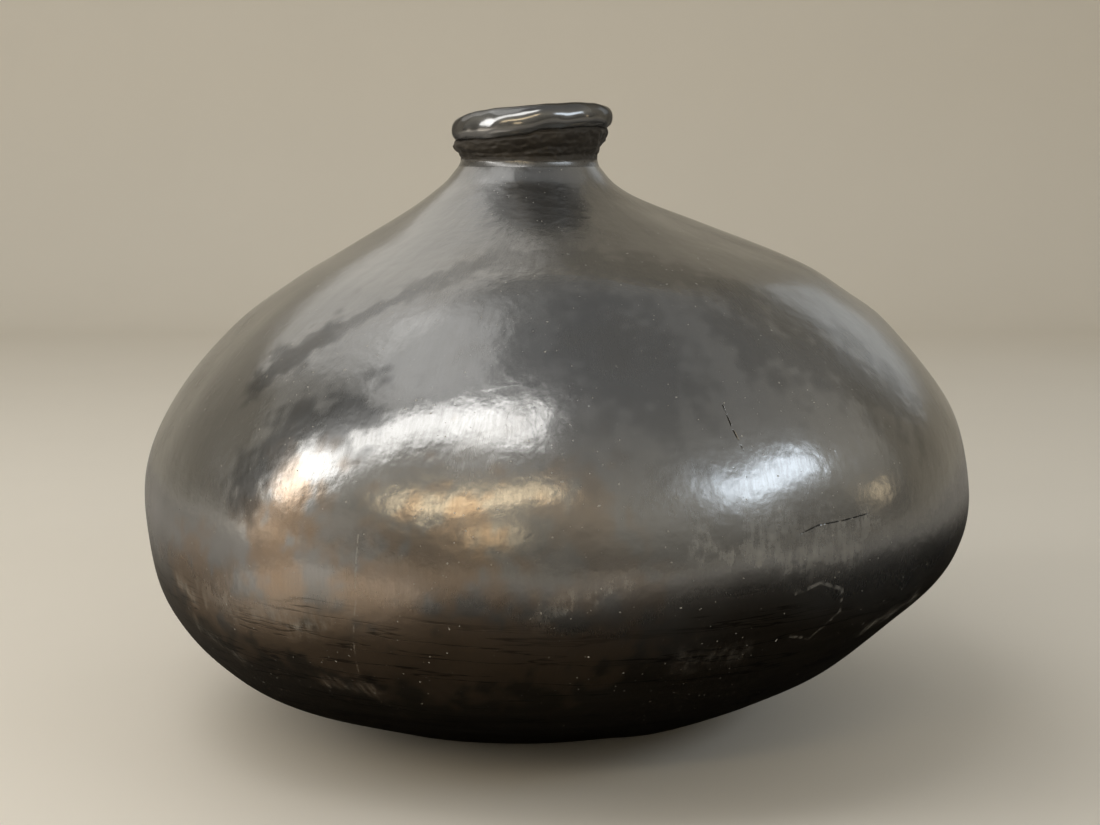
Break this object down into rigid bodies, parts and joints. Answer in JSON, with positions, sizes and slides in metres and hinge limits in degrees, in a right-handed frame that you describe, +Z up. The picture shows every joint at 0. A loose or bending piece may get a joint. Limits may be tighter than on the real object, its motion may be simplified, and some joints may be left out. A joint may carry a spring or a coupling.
{
  "type": "black clay jar",
  "caption": "Burnished black clay jar with a broad flattened belly, a small flat foot, a short narrow neck and a tilted rolled lip.",
  "frame": {"origin": "centre of the flat foot, on the surface that the jar stands on", "axes": "+Z up through the mouth, -Y towards the jar's front, +X to the right of the front, where the belly leans and the lip is high"},
  "size_m": [0.25, 0.25, 0.1888],
  "materials": {
    "burnished_clay": "burnished, semi-metallic sheen",
    "unburnished_clay": "matte, scraped",
    "polished_lip_clay": "burnished, glossy"
  },
  "bodies": {
    "root": {"foot_pat": "burnished_clay", "base_bowl": "burnished_clay", "belly_wall": "burnished_clay", "shoulder_wall": "burnished_clay", "neck_collar": "unburnished_clay", "lip_roll": "polished_lip_clay"}
  },
  "joints": []
}
